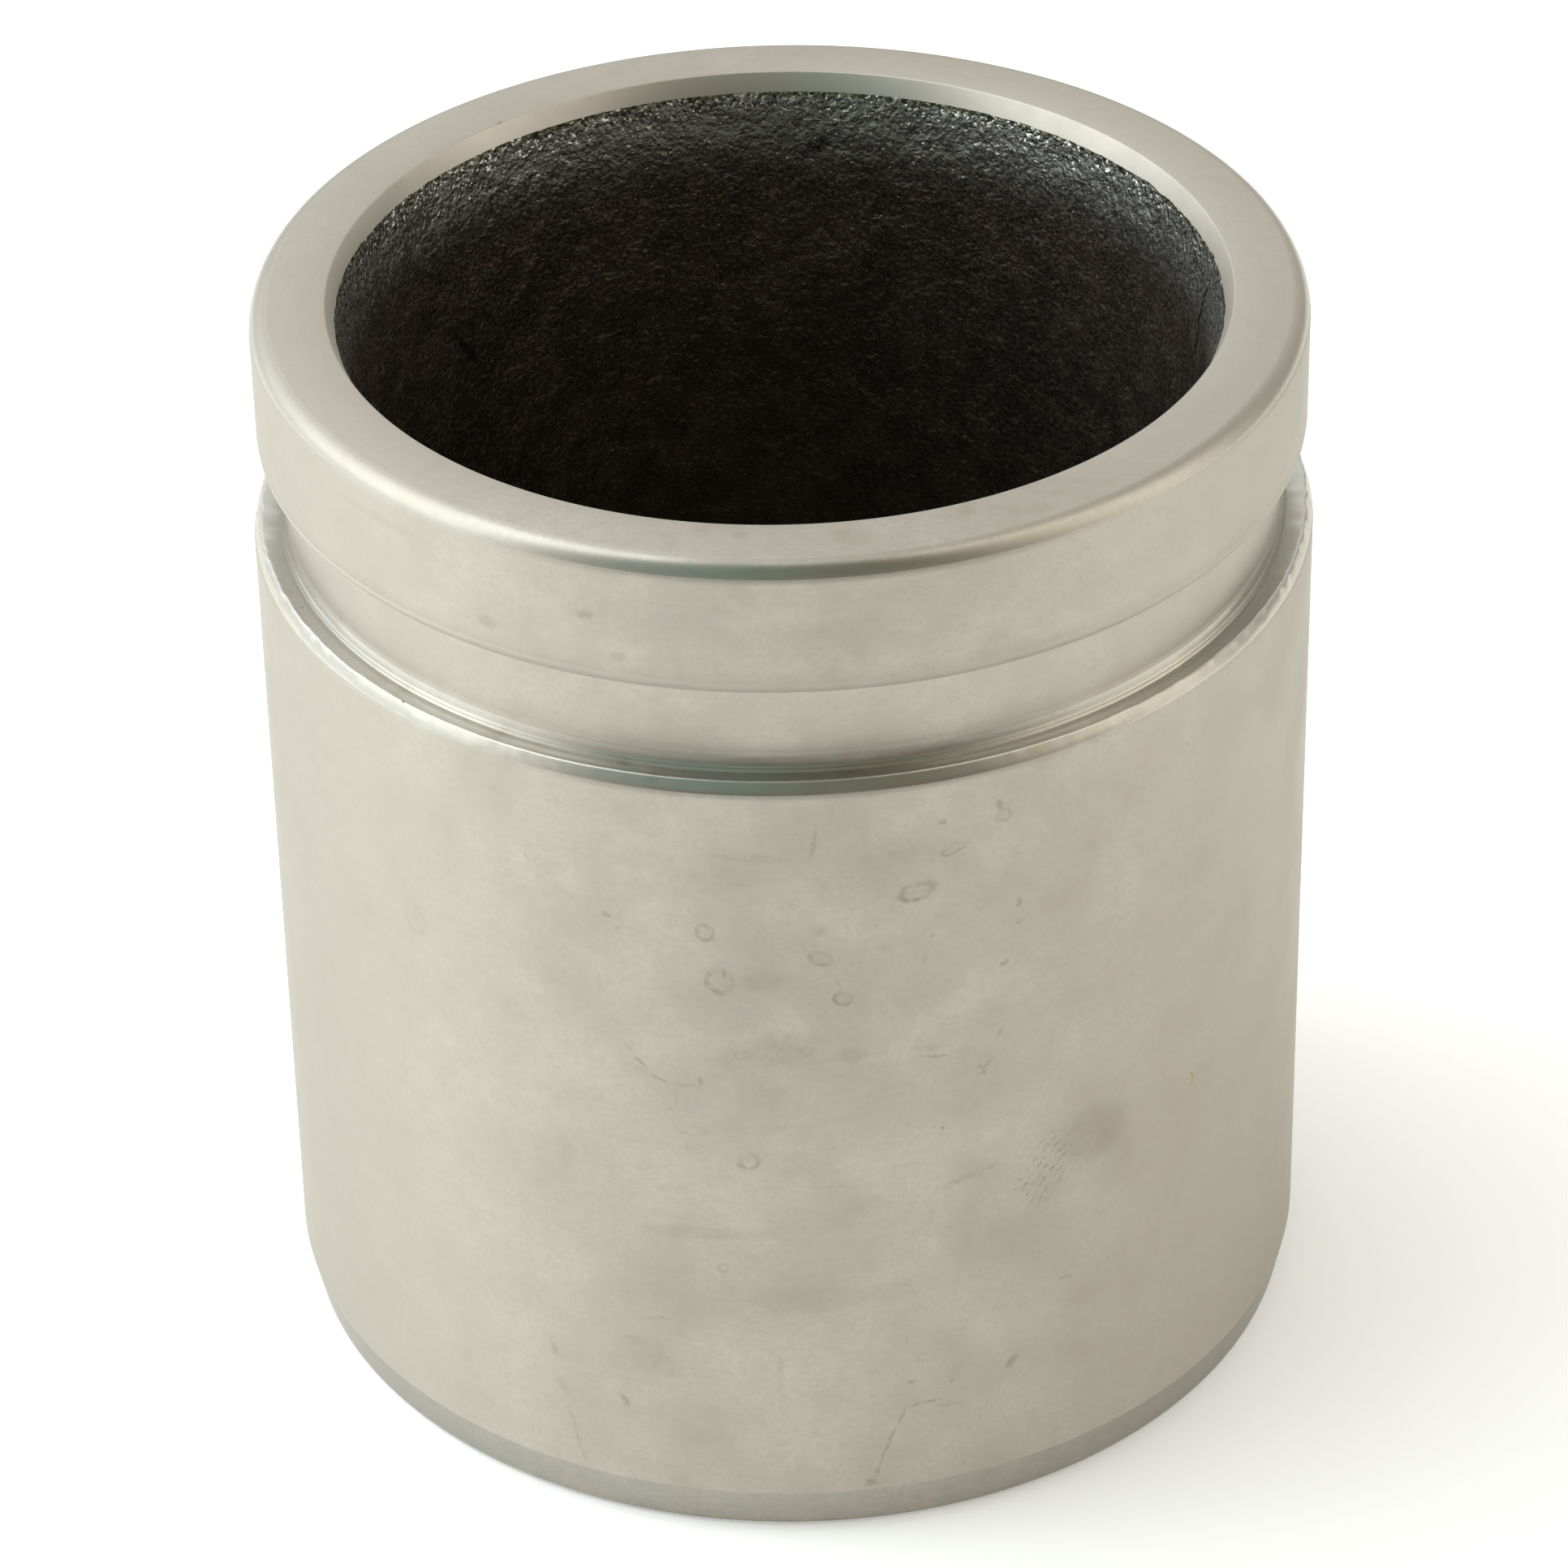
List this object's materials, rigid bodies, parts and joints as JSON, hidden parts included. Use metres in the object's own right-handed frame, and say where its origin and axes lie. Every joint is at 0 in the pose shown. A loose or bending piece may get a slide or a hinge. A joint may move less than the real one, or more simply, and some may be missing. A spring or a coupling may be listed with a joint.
{
  "type": "brake caliper piston",
  "caption": "Hollow steel brake caliper piston: a ground cup, closed at one end, with a collar, boot groove and stepped shoulder at its open rim.",
  "frame": {"origin": "centre of the closed end's outer face, on which the piston stands", "axes": "+Z along the piston's axis, from the closed end to the open rim; the part is round about Z, so X and Y are free"},
  "size_m": [0.048, 0.048, 0.052],
  "materials": {
    "ground_steel": "fine ground outside, dark rough scale inside the cup"
  },
  "bodies": {
    "root": {"piston": "ground_steel"}
  },
  "joints": []
}
